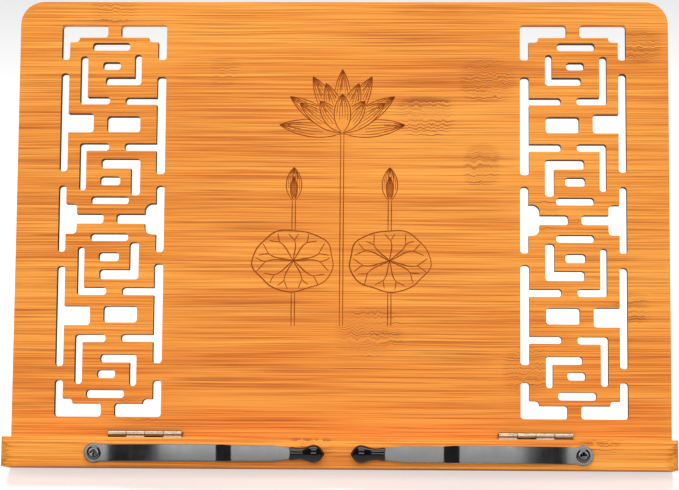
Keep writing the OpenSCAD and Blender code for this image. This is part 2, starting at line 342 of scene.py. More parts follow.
@dataclass(frozen=True)
class Bamboo:
    """Lacquered, side-pressed bamboo with its grain along X.

    Attributes:
        name: The material's name.
        slope: Axes of the board that it covers.
        pale: Colour of the light grain.
        warm: Colour of the broad darker bands.
        deep: Colour of the darkest bands and of the culm nodes.
        vessel: Colour of the thin dark vessels.
        marks: The culm nodes that show.
        seed: Shifts the grain, so that no two boards match.
        strip: Height of one laminated strip.
        gloss: Specular level of the lacquer.
        relief: Height of the grain.
    """

    name: str
    slope: Slope
    pale: Colour = srgb(250, 168, 68)
    warm: Colour = srgb(232, 136, 40)
    deep: Colour = srgb(196, 94, 16)
    vessel: Colour = srgb(132, 54, 8)
    marks: tuple[NodeMark, ...] = ()
    seed: float = 0.0
    strip: float = 0.0205
    gloss: float = 0.22
    relief: float = 0.00014

    def build(self) -> bpy.types.Material:
        """Makes the material."""
        g = Graph(self.name)
        axes = self._board_axes(g)
        grain, shade = self._rippled(g, axes)
        colour, height = self._grain(g, grain, shade)
        g.feed(g.shader.inputs["Base Color"], colour)
        g.feed(g.shader.inputs["Roughness"], g.span(height, 0.0, 1.0, 0.56, 0.42))
        g.shader.inputs["Specular IOR Level"].default_value = self.gloss
        g.bump(height, self.relief, 0.6)
        return g.material

    def _board_axes(self, g: Graph) -> Socket:
        """Turns object coordinates to the board's own.

        Args:
            g: The material's graph.

        Returns:
            The coordinates (u, t, w).
        """
        turned = g.node("Mapping", vector_type="POINT")
        inverse = self.slope.matrix().inverted()
        g.feed(turned.inputs["Vector"], g.coordinates())
        turned.inputs["Rotation"].default_value = inverse.to_euler()
        turned.inputs["Location"].default_value = inverse.translation
        return turned.outputs[0]

    def _rippled(self, g: Graph, axes: Socket) -> tuple[Socket, Value]:
        """Bends the grain, a little everywhere and strongly inside each culm node.

        Args:
            g: The material's graph.
            axes: The board's coordinates.

        Returns:
            The bent coordinates, and how deep in a node each point is.
        """
        split = g.node("SeparateXYZ")
        g.feed(split.inputs[0], axes)
        u, t, w = split.outputs
        total: Value = 0.0
        for mark in self.marks:
            across = g.maths("DIVIDE", g.maths("SUBTRACT", u, mark.u), mark.half_u)
            along = g.maths("DIVIDE", g.maths("SUBTRACT", w, mark.w), mark.half_w)
            reach = g.maths("ADD", g.maths("POWER", g.maths("ABSOLUTE", across), 2.0),
                            g.maths("POWER", g.maths("ABSOLUTE", along), 4.0))
            patch = g.span(reach, 0.05, 1.25, mark.depth, 0.0, smooth=True)
            total = g.maths("MAXIMUM", total, patch)
        coarse = g.maths("SUBTRACT", g.noise(axes, RIPPLE), 0.5)
        slow = g.maths("SUBTRACT", g.noise(axes, WANDER), 0.5)
        bent = g.maths("ADD", g.maths("MULTIPLY", g.maths("MULTIPLY", coarse, RIPPLE_HEIGHT), total),
                       g.maths("MULTIPLY", slow, WANDER_HEIGHT))
        joined = g.node("CombineXYZ")
        g.feed(joined.inputs[0], g.maths("ADD", u, self.seed))
        g.feed(joined.inputs[1], t)
        g.feed(joined.inputs[2], g.maths("ADD", w, bent))
        return joined.outputs[0], total

    def _grain(self, g: Graph, grain: Socket, shade: Value) -> tuple[Socket, Socket]:
        """Makes the grain's colour and height.

        Args:
            g: The material's graph.
            grain: Coordinates that follow the grain.
            shade: How deep in a culm node each point is.

        Returns:
            The colour and the height, from 0 to 1.
        """
        split = g.node("SeparateXYZ")
        g.feed(split.inputs[0], grain)
        course = g.maths("DIVIDE", split.outputs[2], self.strip)
        tone = g.node("TexWhiteNoise", noise_dimensions="1D")
        g.feed(tone.inputs["W"], g.maths("ADD", g.maths("FLOOR", course), self.seed * 10.0))
        lamina = g.maths("SUBTRACT", tone.outputs["Value"], 0.5)
        seam = g.span(g.maths("ABSOLUTE", g.maths("SUBTRACT", g.maths("FRACT", course), 0.5)), 0.48, 0.5)

        broad = g.noise(grain, BROAD)
        band = g.noise(grain, BAND)
        fibre = g.noise(grain, FIBRE)
        fine = g.noise(grain, FINE)
        vessel = g.span(g.noise(grain, VESSELS), 0.30, 0.42, 1.0, 0.0, smooth=True)
        vessel = g.maths("MULTIPLY", vessel, g.span(g.noise(grain, VESSEL_GROUPS), 0.4, 0.62, 0.15, 1.0))

        blend = g.maths("ADD", g.span(broad, 0.34, 0.66, 0.0, 0.5), g.maths("MULTIPLY", lamina, 0.16))
        blend = g.maths("ADD", blend, g.span(band, 0.34, 0.66, -0.1, 0.35))
        blend = g.maths("ADD", blend, g.span(fibre, 0.3, 0.7, -0.6, 0.75))
        colour = g.mix(g.span(blend, -0.1, 0.7), self.pale, self.warm)
        colour = g.mix(g.span(blend, 0.5, 1.25, 0.0, 0.9), colour, self.deep)
        colour = g.mix(g.maths("MULTIPLY", shade, 0.22), colour, self.deep)
        colour = g.mix(g.maths("MULTIPLY", vessel, 0.5), colour, self.vessel)
        ring = g.maths("MULTIPLY", g.span(shade, 0.0, 0.4), g.span(fibre, 0.52, 0.66, 0.0, 0.7))
        colour = g.mix(ring, colour, self.vessel)
        colour = g.mix(g.maths("MULTIPLY", seam, 0.22), colour, self.vessel)
        colour = g.mix(g.span(fine, 0.35, 0.7, 0.0, 0.22), colour, self.pale)
        height = g.maths("SUBTRACT", g.maths("ADD", g.span(fibre, 0.3, 0.7, 0.0, 0.5),
                                             g.span(fine, 0.3, 0.7, 0.0, 0.3)),
                         g.maths("MULTIPLY", vessel, 0.5))
        return colour, g.span(height, -0.4, 0.9)


@dataclass(frozen=True)
class LaserCut:
    """The browned wall of a laser-cut slot, streaked through the board's thickness.

    Attributes:
        name: The material's name.
        burnt: Colour where the cut is darkest.
        brown: Colour where it is lightest.
    """

    name: str = "laser_cut_wall"
    burnt: Colour = srgb(58, 24, 8)
    brown: Colour = srgb(148, 84, 36)

    def build(self) -> bpy.types.Material:
        """Makes the material."""
        g = Graph(self.name)
        at = g.coordinates()
        streaks = g.noise(at, Speckle((900.0, 120.0, 900.0), 3.0, 0.6))
        soot = g.noise(at, Speckle((130.0, 130.0, 130.0)))
        amount = g.maths("ADD", g.span(streaks, 0.3, 0.7, 0.0, 0.6), g.span(soot, 0.3, 0.7, -0.1, 0.35))
        g.feed(g.shader.inputs["Base Color"], g.mix(amount, self.burnt, self.brown))
        g.feed(g.shader.inputs["Roughness"], g.span(streaks, 0.3, 0.7, 0.62, 0.8))
        g.shader.inputs["Specular IOR Level"].default_value = 0.25
        g.bump(streaks, 0.00005, 0.5)
        return g.material


@dataclass(frozen=True)
class Plated:
    """Nickel plate, lightly scratched along X.

    Attributes:
        name: The material's name.
        colour: Its colour.
        rough: Roughness between its scratches.
    """

    name: str = "nickel_plate"
    colour: Colour = srgb(158, 146, 130)
    rough: float = 0.14

    def build(self) -> bpy.types.Material:
        """Makes the material."""
        g = Graph(self.name)
        at = g.coordinates()
        scratch = g.noise(at, Speckle((80.0, 2400.0, 2400.0), 3.0, 0.6))
        cloud = g.noise(at, Speckle((220.0, 220.0, 220.0), 3.0, 0.55))
        colour = g.mix(g.span(cloud, 0.38, 0.72), self.colour, times(self.colour, 0.7))
        g.feed(g.shader.inputs["Base Color"], colour)
        rough = g.maths("ADD", g.span(cloud, 0.3, 0.7, -0.06, 0.12), self.rough)
        g.feed(g.shader.inputs["Roughness"], g.maths("ADD", rough, g.span(scratch, 0.4, 0.7, 0.0, 0.12)))
        g.shader.inputs["Metallic"].default_value = 1.0
        g.bump(scratch, 0.00001, 0.35)
        return g.material


@dataclass(frozen=True)
class BlackSteel:
    """Semi-gloss black enamel on spring steel, with fine marks across the strip.

    Attributes:
        name: The material's name.
        colour: Colour of the enamel.
        worn: Colour where handling has thinned it.
        rough: Its roughness.
        gloss: Specular level of the enamel.
        coat: Weight of the clear coat on it.
        coat_rough: The clear coat's roughness.
    """

    name: str = "blacked_steel"
    colour: Colour = (0.004, 0.004, 0.0045, 1.0)
    worn: Colour = (0.01, 0.01, 0.011, 1.0)
    rough: float = 0.18
    gloss: float = 1.0
    coat: float = 0.35
    coat_rough: float = 0.12

    def build(self) -> bpy.types.Material:
        """Makes the material."""
        g = Graph(self.name)
        at = g.coordinates()
        across = g.noise(at, Speckle((1500.0, 90.0, 90.0), 3.0, 0.6))
        cloud = g.noise(at, Speckle((150.0, 150.0, 150.0), 3.0, 0.55))
        speck = g.noise(at, Speckle((1100.0, 1100.0, 1100.0), 2.0, 0.6))
        wear = g.maths("MULTIPLY", g.span(cloud, 0.45, 0.75), g.span(speck, 0.4, 0.65))
        g.feed(g.shader.inputs["Base Color"], g.mix(wear, self.colour, self.worn))
        rough = g.maths("ADD", g.span(cloud, 0.3, 0.7, -0.03, 0.05), self.rough)
        g.feed(g.shader.inputs["Roughness"], g.maths("ADD", rough, g.span(across, 0.35, 0.7, -0.03, 0.04)))
        g.shader.inputs["Specular IOR Level"].default_value = self.gloss
        g.shader.inputs["Coat Weight"].default_value = self.coat
        g.shader.inputs["Coat Roughness"].default_value = self.coat_rough
        g.bump(across, 0.000004, 0.3)
        return g.material


@dataclass(frozen=True)
class Moulded:
    """Glossy moulded plastic with a faint orange peel.

    Attributes:
        name: The material's name.
        colour: Its colour.
        rough: Its roughness.
        gloss: Its specular level.
    """

    name: str = "gloss_tip"
    colour: Colour = grey(0.003)
    rough: float = 0.08
    gloss: float = 0.32

    def build(self) -> bpy.types.Material:
        """Makes the material."""
        g = Graph(self.name)
        at = g.coordinates()
        peel = g.noise(at, Speckle((700.0, 700.0, 700.0)))
        dust = g.noise(at, Speckle((240.0, 240.0, 240.0), 4.0, 0.65))
        colour = g.mix(g.span(dust, 0.5, 0.75), self.colour, times(self.colour, 1.6))
        g.feed(g.shader.inputs["Base Color"], colour)
        g.feed(g.shader.inputs["Roughness"], g.span(dust, 0.3, 0.7, self.rough - 0.05, self.rough + 0.1))
        g.shader.inputs["Specular IOR Level"].default_value = self.gloss
        g.bump(peel, 0.00002, 0.3)
        return g.material


@dataclass(frozen=True)
class Scorch:
    """The burnt brown of an engraved line, uneven along its length.

    Attributes:
        name: The material's name.
        deep: Colour where the burn is strong.
        light: Colour where it is faint.
    """

    name: str = "scorched_line"
    deep: Colour = srgb(112, 40, 6)
    light: Colour = srgb(176, 84, 22)

    def build(self) -> bpy.types.Material:
        """Makes the material."""
        g = Graph(self.name)
        at = g.coordinates()
        spots = g.noise(at, Speckle((520.0, 520.0, 1500.0), 3.0, 0.6))
        patches = g.noise(at, Speckle((70.0, 70.0, 70.0)))
        amount = g.maths("ADD", g.span(spots, 0.35, 0.7, 0.0, 0.6), g.span(patches, 0.3, 0.7, 0.0, 0.45))
        g.feed(g.shader.inputs["Base Color"], g.mix(amount, self.deep, self.light))
        g.feed(g.shader.inputs["Roughness"], g.span(spots, 0.3, 0.7, 0.6, 0.85))
        g.shader.inputs["Specular IOR Level"].default_value = 0.08
        g.bump(spots, 0.00004, 0.5)
        return g.material


# ---------------------------------------------------------------- mesh helpers


# Points nearer than this, in metres, are one; the rest are angles between faces, in degrees.
SAME_PLACE = 2e-6
FLAT_ANGLE = 0.4
EASED_ANGLE = 28.0
CRISP_ANGLE = 50.0


class Body(Enum):
    """The moving bodies of the stand."""

    PANEL = "panel"
    TRAY = "tray"
    LEFT_CLIP = "left_clip"
    RIGHT_CLIP = "right_clip"
    LEG = "leg"


def object_from(name: str, mesh_source: bmesh.types.BMesh, material: bpy.types.Material) -> bpy.types.Object:
    """Turns a bmesh into an object at the origin.

    Args:
        name: The piece's name.
        mesh_source: Its bmesh, which is freed.
        material: Its finish.

    Returns:
        The new object.
    """
    mesh = bpy.data.meshes.new(name)
    mesh_source.to_mesh(mesh)
    mesh_source.free()
    mesh.materials.append(material)
    made = bpy.data.objects.new(name, mesh)
    bpy.context.scene.collection.objects.link(made)
    return made


def shade_by_angle(bm: bmesh.types.BMesh, degrees: float) -> None:
    """Shades smoothly, but crisply at edges sharper than an angle.

    Args:
        bm: The bmesh.
        degrees: The angle.
    """
    limit = math.radians(degrees)
    for face in bm.faces:
        face.smooth = True
    for edge in bm.edges:
        edge.smooth = len(edge.link_faces) == 2 and edge.calc_face_angle(0.0) < limit


def weight_normals(piece: bpy.types.Object) -> None:
    """Lets a piece's broad faces set the shading where they meet its rounded edges.

    Args:
        piece: The piece.
    """
    weighted = piece.modifiers.new("weighted", "WEIGHTED_NORMAL")
    weighted.mode = "FACE_AREA"
    weighted.weight = 100
    weighted.keep_sharp = True


def eased_copy(node: str, ease: float, segments: int) -> bmesh.types.BMesh:
    """A CAD node's mesh, merged, with its sharp edges rounded.

    Args:
        node: The CAD node.
        ease: Width of the rounding.
        segments: Faces across the rounding.

    Returns:
        The new bmesh.
    """
    bm = bmesh.new()
    bm.from_mesh(frame["nodes"][node].data)
    bmesh.ops.remove_doubles(bm, verts=bm.verts, dist=SAME_PLACE)
    bmesh.ops.dissolve_degenerate(bm, edges=bm.edges, dist=SAME_PLACE / 2)
    bmesh.ops.dissolve_limit(bm, angle_limit=math.radians(FLAT_ANGLE), verts=bm.verts, edges=bm.edges)
    limit = math.radians(EASED_ANGLE)
    sharp = [e for e in bm.edges if len(e.link_faces) == 2 and e.calc_face_angle(0.0) > limit]
    bmesh.ops.bevel(bm, geom=sharp, offset=ease, offset_type="OFFSET", segments=segments,
                    profile=0.5, affect="EDGES", clamp_overlap=True, material=-1)
    shade_by_angle(bm, CRISP_ANGLE)
    return bm


@dataclass
class EasedPart:
    """A CAD node shown with rounded edges and a real finish.

    Attributes:
        node: The CAD node it stands for.
        body: The body it rides on.
        slot: The record's material slot; not used.
        ease: Width of the rounding.
        segments: Faces across the rounding.
    """

    node: str
    body: Body
    slot: str
    ease: float
    segments: int = 2

    def build(self, material: bpy.types.Material) -> bpy.types.Object:
        """Makes the piece.

        Args:
            material: Its finish.

        Returns:
            The piece, riding on its body.
        """
        made = object_from(self.node + "_eased", eased_copy(self.node, self.ease, self.segments), material)
        weight_normals(made)
        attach(made, self.body.value)
        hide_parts(self.node)
        LOG.info("%s: %d faces", made.name, len(made.data.polygons))
        return made


def dress(node: str, material: bpy.types.Material) -> None:
    """Gives a CAD node that is shown as it is a real finish.

    Args:
        node: The CAD node.
        material: Its finish.
    """
    shown = frame["nodes"][node]
    if not shown.material_slots:
        shown.data.materials.append(material)
    for place in shown.material_slots:
        place.material = material
    LOG.info("%s: dressed in %s", node, material.name)


# ---------------------------------------------------------------- engraving


# Width of an outline's stroke, in millimetres.
LINE = 0.5


def bezier(a: Point, b: Point, c: Point, d: Point, count: int = 18) -> list[Point]:
    """Points along a cubic curve.

    Args:
        a: Start.
        b: First handle.
        c: Second handle.
        d: End.
        count: Number of steps.

    Returns:
        The points, ends included.
    """
    points = []
    for i in range(count + 1):
        s = i / count
        k = ((1 - s) ** 3, 3 * s * (1 - s) ** 2, 3 * s * s * (1 - s), s ** 3)
        points.append(tuple(sum(f * p[j] for f, p in zip(k, (a, b, c, d))) for j in (0, 1)))
    return points


def between(first: list[Point], second: list[Point], share: float) -> list[Point]:
    """A line part of the way from one line to another.

    Args:
        first: The first line.
        second: The second, with as many points.
        share: How far over the new line is, from 0 to 1.

    Returns:
        The new line.
    """
    return [(p[0] + (q[0] - p[0]) * share, p[1] + (q[1] - p[1]) * share) for p, q in zip(first, second)]


def inside(point: Point, outline: list[Point]) -> bool:
    """Tests if a point is inside a closed outline.

    Args:
        point: The point.
        outline: The outline's corners.

    Returns:
        Whether it is inside.
    """
    x, y = point
    hit = False
    for (ax, ay), (bx, by) in zip(outline, outline[1:] + outline[:1]):
        if (ay > y) != (by > y) and x < (bx - ax) * (y - ay) / (by - ay) + ax:
            hit = not hit
    return hit


def headings(points: list[Point]) -> list[Point]:
    """Unit directions along a line.

    Args:
        points: The line.

    Returns:
        Its direction at each point.
    """
    found = []
    for i in range(len(points)):
        before, after = points[max(i - 1, 0)], points[min(i + 1, len(points) - 1)]
        du, dw = after[0] - before[0], after[1] - before[1]
        size = math.hypot(du, dw) or 1.0
        found.append((du / size, dw / size))
    return found


@dataclass
class LineDrawing:
    """Strokes on the board's face, in millimetres of u and w, drawn from the front backwards.

    Attributes:
        strokes: Visible runs of points, each with its width.
        covers: Outlines that hide what is drawn later.
        proud: Height of the strokes off the board, in metres.
    """

    strokes: list[tuple[list[Point], float]] = field(default_factory=list)
    covers: list[list[Point]] = field(default_factory=list)
    proud: float = 0.00005

    def line(self, points: list[Point], width: float) -> None:
        """Draws a stroke where nothing in front hides it.

        Args:
            points: The stroke's points.
            width: Its full width.
        """
        run: list[Point] = []
        for point in points:
            if any(inside(point, cover) for cover in self.covers):
                self._keep(run, width)
                run = []
            else:
                run.append(point)
        self._keep(run, width)

    def _keep(self, run: list[Point], width: float) -> None:
        """Keeps a run that is long enough to see."""
        if len(run) > 1:
            self.strokes.append((run, width))

    def cover(self, outline: list[Point]) -> None:
        """Hides what is drawn later inside an outline."""
        self.covers.append(outline)

    def build(self, name: str, slope: Slope, material: bpy.types.Material) -> bpy.types.Object:
        """Makes every stroke a thin raised ribbon.

        Args:
            name: The piece's name.
            slope: The board's axes.
            material: The finish.

        Returns:
            The piece.
        """
        bm = bmesh.new()
        for points, width in self.strokes:
            self._ribbon(bm, points, width)
        bmesh.ops.remove_doubles(bm, verts=bm.verts, dist=1e-5)
        walls = bmesh.ops.extrude_face_region(bm, geom=list(bm.faces), use_keep_orig=True)
        tops = [v for v in walls["geom"] if isinstance(v, bmesh.types.BMVert)]
        bmesh.ops.translate(bm, verts=tops, vec=(0.0, -self.proud / MM, 0.0))
        bmesh.ops.recalc_face_normals(bm, faces=bm.faces)
        bmesh.ops.scale(bm, vec=(MM, MM, MM), verts=bm.verts)
        bmesh.ops.transform(bm, matrix=slope.matrix(), verts=bm.verts)
        return object_from(name, bm, material)

    @staticmethod
    def _ribbon(bm: bmesh.types.BMesh, points: list[Point], width: float) -> None:
        """Adds one stroke as a flat ribbon that thins towards its ends.

        Args:
            bm: The drawing's bmesh.
            points: The stroke's points.
            width: Its full width.
        """
        count = len(points)
        sides = []
        for i, (du, dw) in enumerate(headings(points)):
            half = width * (0.32 + 0.18 * math.sin(math.pi * i / (count - 1)))
            sides.append((-dw * half, du * half))
        verts = [bm.verts.new((u - s[0], 0.0, w - s[1])) for (u, w), s in zip(points, sides)]
        edges = [bm.edges.new(pair) for pair in zip(verts, verts[1:])]
        grown = bmesh.ops.extrude_edge_only(bm, edges=edges)["geom"]
        moved = [v for v in grown if isinstance(v, bmesh.types.BMVert)]
        for vert in moved:
            index = min(range(count), key=lambda k: (verts[k].co - vert.co).length_squared)
            vert.co += Vector((2 * sides[index][0], 0.0, 2 * sides[index][1]))


@dataclass(frozen=True)
class Petal:
    """One petal, from its base to its pointed tip.

    Attributes:
        base: Middle of its base.
        tip: Its point.
        left: How far its left edge swells.
        right: How far its right edge swells.
        veins: Number of lines up the petal.
        rise: Where the lines start, as a share of its length.
        stop: Where they stop.
        tips: Number of short dark lines under the point.
        foot: Half the width of its base.
    """

    base: Point
    tip: Point
    left: float
    right: float
    veins: int
    rise: float
    stop: float
    tips: int
    foot: float

    def edges(self) -> tuple[list[Point], list[Point]]:
        """Draws the petal's outline.

        Returns:
            Its left and right edges, both from base to tip.
        """
        du, dw = self.tip[0] - self.base[0], self.tip[1] - self.base[1]
        size = math.hypot(du, dw)
        along, across = (du / size, dw / size), (dw / size, -du / size)

        def at(share: float, off: float) -> Point:
            """A point along the petal, off its middle line."""
            return (self.base[0] + along[0] * size * share + across[0] * off,
                    self.base[1] + along[1] * size * share + across[1] * off)

        def edge(swell: float, side: float) -> list[Point]:
            """One edge; side is -1 for the left and 1 for the right."""
            return bezier(at(0.0, side * self.foot), at(0.34, side * swell * 1.35),
                          at(0.78, side * swell * 0.86), at(1.0, 0.0))

        return edge(self.left, -1.0), edge(self.right, 1.0)

    def draw(self, drawing: LineDrawing) -> None:
        """Draws the petal and hides what lies behind it.

        Args:
            drawing: The drawing.
        """
        left, right = self.edges()
        drawing.line(left, LINE)
        drawing.line(right, LINE)
        last = len(left) - 1
        for i in range(self.veins):
            share = (i + 1) / (self.veins + 1)
            spread = 0.08 * math.cos(2.4 * i)
            low = int(last * (self.rise + spread * 0.6))
            high = int(last * (self.stop - 0.22 * abs(share - 0.5) + spread))
            drawing.line(between(left, right, share)[low:high + 1], LINE * 0.62)
        for i in range(self.tips):
            share = (i + 1) / (self.tips + 1)
            low = int(last * (0.74 + 0.08 * math.cos(3.1 * i)))
            drawing.line(between(left, right, share)[low:], LINE * 0.95)
        drawing.cover(left + right[::-1])


@dataclass(frozen=True)
class Stem:
    """A stem drawn as two lines.

    Attributes:
        path: Its start, two handles and end.
        thick: Distance between the lines.
    """

    path: tuple[Point, Point, Point, Point]
    thick: float = 1.7

    def draw(self, drawing: LineDrawing) -> None:
        """Draws the stem and hides what lies behind it.

        Args:
            drawing: The drawing.
        """
        middle = bezier(*self.path, count=160)
        sides: list[list[Point]] = [[], []]
        for (u, w), (du, dw) in zip(middle, headings(middle)):
            for line, sign in zip(sides, (-0.5, 0.5)):
                line.append((u + sign * self.thick * dw, w - sign * self.thick * du))
        for line in sides:
            drawing.line(line, LINE)
        drawing.cover(sides[0] + sides[1][::-1])


@dataclass(frozen=True)
class Leaf:
    """A round, wavy lotus leaf with forked veins.

    Attributes:
        centre: Middle of its outline.
        hub: Where its veins meet.
        reach: Half its width and half its height.
        waves: Height and count of its edge's waves.
        veins: Directions of its veins, in degrees.
        turn: Start of the waves, in radians.
    """

    centre: Point
    hub: Point
    reach: Point
    waves: tuple[tuple[float, int], ...]
    veins: tuple[float, ...]
    turn: float

    def edge(self, angle: float) -> Point:
        """Finds a point of the outline.

        Args:
            angle: Its direction from the centre, in radians.

        Returns:
            The point.
        """
        swell = 1.0 + sum(h * math.sin(n * angle + self.turn * n) for h, n in self.waves)
        return (self.centre[0] + self.reach[0] * swell * math.cos(angle),
                self.centre[1] + self.reach[1] * swell * math.sin(angle))

    def outline(self, count: int = 120) -> list[Point]:
        """The closed outline."""
        return [self.edge(math.tau * i / count) for i in range(count)]

    def draw(self, drawing: LineDrawing) -> None:
        """Draws the leaf and hides what lies behind it.

        Args:
            drawing: The drawing.
        """
        ring = self.outline()
        drawing.line(ring + ring[:1], LINE * 1.28)
        for i, degrees in enumerate(self.veins):
            end = self.edge(math.radians(degrees))
            self._vein(drawing, end, 1.0 if i % 2 else -1.0)
        drawing.cover(ring)

    def _vein(self, drawing: LineDrawing, end: Point, side: float) -> None:
        """Draws one vein: a curved trunk and two forks near the leaf's edge.

        Args:
            drawing: The drawing.
            end: Where the vein would meet the edge.
            side: Which way it bows, -1 or 1.
        """
        hu, hw = self.hub
        du, dw = end[0] - hu, end[1] - hw
        off = (-dw * 0.09 * side, du * 0.09 * side)

        def at(share: float, lift: float = 0.0) -> Point:
            """A point towards the edge, lifted off the straight line."""
            return (hu + du * share + off[0] * lift, hw + dw * share + off[1] * lift)

        trunk = bezier((hu, hw), at(0.25, 0.2), at(0.45, 1.3), at(0.66, 0.5), 20)
        drawing.line(trunk, LINE * 1.2)
        root = trunk[-1]
        for lift in (1.9, -1.7):
            drawing.line(bezier(root, at(0.74, 0.3 + lift * 0.2), at(0.82, lift * 0.7),
                                at(0.9, lift), 10), LINE * 0.96)


@dataclass
class LotusPond:
    """A plain mirrored lotus motif, engraved on the board's middle: a bloom, two buds and two leaves.

    Attributes:
        drawing: The strokes drawn so far.
        foot: How far up the board the stems end.
        crown: How far up the board the bloom stands.
        spread: Distance of each leaf and bud from the middle.
        veins: Number of evenly spaced veins in a leaf.
        leaf: Half a leaf's width and half its height.
        tiers: Number, length and swell of each tier's petals, and how far they fan, front tier first.
    """

    drawing: LineDrawing = field(default_factory=LineDrawing)
    foot: float = 74.0
    crown: float = 176.0
    spread: float = 25.0
    veins: int = 11
    leaf: Point = (21.0, 16.0)
    tiers: tuple[tuple[int, float, float, float], ...] = (
        (3, 20.0, 5.0, 36.0), (4, 27.0, 5.2, 56.0), (7, 33.0, 5.2, 84.0))

    def build(self, material: bpy.types.Material) -> bpy.types.Object:
        """Draws everything from the front backwards and makes the piece.

        Args:
            material: The scorched finish.

        Returns:
            The piece, riding on the board.
        """
        self._bloom()
        for side in (-1.0, 1.0):
            self._leaf(side)
            self._bud(side)
        made = self.drawing.build("lotus_engraving", BOARD, material)
        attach(made, Body.PANEL.value)
        LOG.info("%s: %d strokes", made.name, len(self.drawing.strokes))
        return made

    def _bloom(self) -> None:
        """Draws the open flower, in tiers of evenly fanned petals, and its stem."""
        for count, size, swell, fan in self.tiers:
            middle = (count - 1) / 2
            for i in sorted(range(count), key=lambda k: abs(k - middle)):
                turn = math.radians(fan * (i / middle - 1.0))
                tip = (size * math.sin(turn), self.crown + size * math.cos(turn))
                Petal((0.0, self.crown), tip, swell, swell, 5, 0.35, 0.84, 4, 0.8).draw(self.drawing)
        self._stem(0.0, self.crown)

    def _leaf(self, side: float) -> None:
        """Draws one round leaf.

        Args:
            side: -1 for the left one and 1 for the right one.
        """
        middle = (side * self.spread, self.foot + 34.0)
        fan = tuple(90.0 + side * 360.0 / self.veins * i for i in range(self.veins))
        Leaf(middle, middle, self.leaf, ((0.03, 5), (0.012, 9)), fan, side * 0.4).draw(self.drawing)

    def _bud(self, side: float) -> None:
        """Draws one closed bud of wrapped petals, and its stem, which passes behind the leaf.

        Args:
            side: -1 for the left one and 1 for the right one.
        """
        base, tip = (side * self.spread, self.foot + 66.0), (side * self.spread, self.foot + 83.0)
        inner = (base[0], base[1] + 0.72 * (tip[1] - base[1]))
        Petal(base, inner, 2.0, 2.0, 7, 0.12, 0.9, 3, 0.4).draw(self.drawing)
        Petal(base, tip, 4.6, 4.6, 7, 0.3, 0.95, 4, 1.0).draw(self.drawing)
        self._stem(*base)

    def _stem(self, u: float, top: float) -> None:
        """Draws an upright stem.

        Args:
            u: Its place across the board.
            top: How far up the board it starts; it ends at the foot.
        """
        fall = top - self.foot
        path = ((u, top), (u, top - fall / 3), (u, self.foot + fall / 3), (u, self.foot))
        Stem(path).draw(self.drawing)


# ---------------------------------------------------------------- sub-assemblies


@dataclass
class FretworkBoard:
    """The leaning board with its engraving.

    Attributes:
        ease: Rounding of its edges.
        rim: Width of board, along its outer edge, that has no laser-cut walls.
        flat: A face whose normal is nearer to the board's than this isn't a wall.
        nodes: Each culm node's place, half width and half height in millimetres, and its depth.
    """

    ease: float = 0.00025
    rim: float = 0.008
    flat: float = 0.9
    nodes: tuple[tuple[float, ...], ...] = (
        (-121, 241, 13, 8, 0.7), (76, 203, 15, 12, 0.9), (43, 184, 16, 11, 0.9), (73, 158, 10, 12, 0.8),
        (156, 222, 11, 9, 0.7), (104, 132, 10, 9, 0.6), (96, 51, 13, 13, 0.9), (15, 71, 18, 13, 1.0),
        (-105, 30, 12, 8, 0.7), (-62, 208, 9, 8, 0.35), (150, 84, 10, 9, 0.5))

    def build(self, scorch: bpy.types.Material) -> None:
        """Makes the board and its engraving.

        Args:
            scorch: Finish of the engraved lines.
        """
        marks = tuple(NodeMark(*(size * MM for size in patch), depth) for *patch, depth in self.nodes)
        bamboo = Bamboo("bamboo_board", BOARD, marks=marks).build()
        board = EasedPart("main_panel", Body.PANEL, "bamboo", self.ease).build(bamboo)
        self._brown_the_cuts(board)
        LotusPond().build(scorch)

    def _brown_the_cuts(self, board: bpy.types.Object) -> None:
        """Gives the walls of the fretwork's slots their laser-cut finish.

        Args:
            board: The board's piece.
        """
        board.data.materials.append(LaserCut().build())
        _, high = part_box("main_panel")
        top = (high - BOARD.origin).dot(BOARD.up)
        for face in board.data.polygons:
            at = face.center - BOARD.origin
            inner = abs(at.x) < high.x - self.rim and self.rim < at.dot(BOARD.up) < top - 2 * self.rim
            if inner and abs(face.normal.dot(BOARD.back)) < self.flat:
                face.material_index = 1


@dataclass
class LedgeTray:
    """The hinged tray along the bottom.

    Attributes:
        ease: Rounding of its edges.
    """

    ease: float = 0.0007

    def build(self) -> None:
        """Makes the tray."""
        marks = (NodeMark(-0.013, 0.011, 0.012, 0.006, 0.6), NodeMark(0.131, 0.013, 0.012, 0.006, 0.6))
        bamboo = Bamboo("bamboo_tray", BOARD, marks=marks, seed=1.7, strip=0.017).build()
        EasedPart("tray", Body.TRAY, "bamboo", self.ease, 3).build(bamboo)


@dataclass
class RearLeg:
    """The leg that holds the board at its lean.

    Attributes:
        ease: Rounding of its edges.
    """

    ease: float = 0.0009

    def build(self) -> None:
        """Makes the leg."""
        marks = (NodeMark(0.02, -0.06, 0.016, 0.009, 0.6), NodeMark(-0.035, -0.118, 0.014, 0.008, 0.5))
        bamboo = Bamboo("bamboo_leg", LEG, marks=marks, seed=4.3).build()
        EasedPart("rear_leg", Body.LEG, "bamboo", self.ease, 3).build(bamboo)


